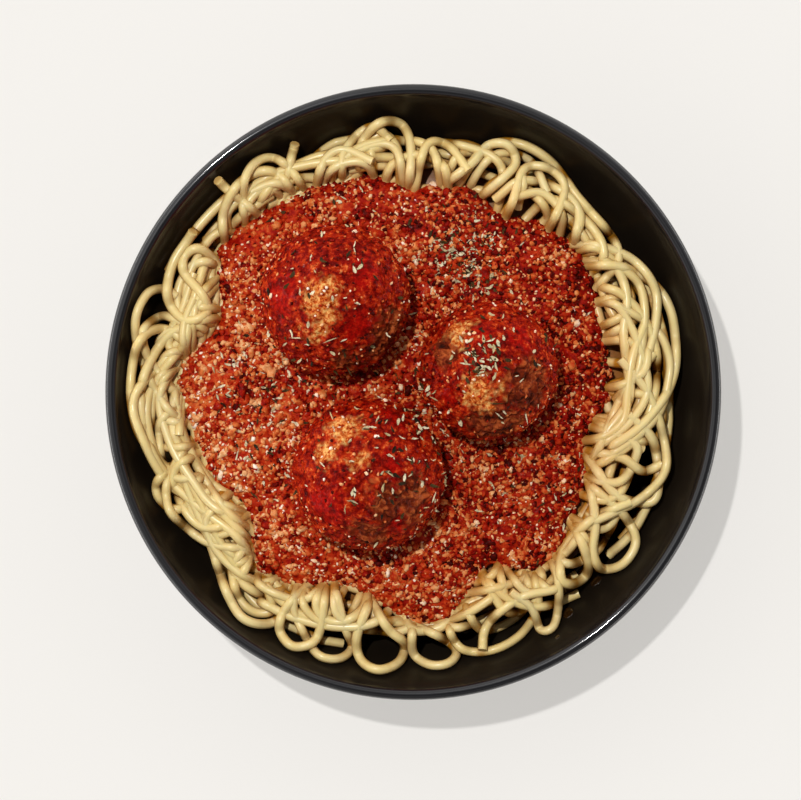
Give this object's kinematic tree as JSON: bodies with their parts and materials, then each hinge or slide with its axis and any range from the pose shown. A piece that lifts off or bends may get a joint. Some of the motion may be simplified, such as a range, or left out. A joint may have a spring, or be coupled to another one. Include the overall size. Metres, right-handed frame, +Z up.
{
  "type": "bowl of spaghetti and meatballs",
  "caption": "Round black stoneware pasta bowl filled with a nest of spaghetti, thick meat sauce, large meatballs and flakes of dried herbs.",
  "frame": {"origin": "centre of the bowl's foot ring, on the plane it stands on", "axes": "+Z up; +Y towards the top of the picture, +X towards its right"},
  "size_m": [0.2, 0.2, 0.0769],
  "materials": {
    "black_glaze": "satin black glaze",
    "cooked_pasta": "moist cooked pasta",
    "meat_sauce": "oily minced meat and tomato sauce",
    "browned_meat": "browned meat glazed with sauce"
  },
  "bodies": {
    "root": {"bowl": "black_glaze", "spaghetti": "cooked_pasta", "sauce": "meat_sauce", "meatball_1": "browned_meat", "meatball_2": "browned_meat", "meatball_3": "browned_meat"}
  },
  "joints": []
}
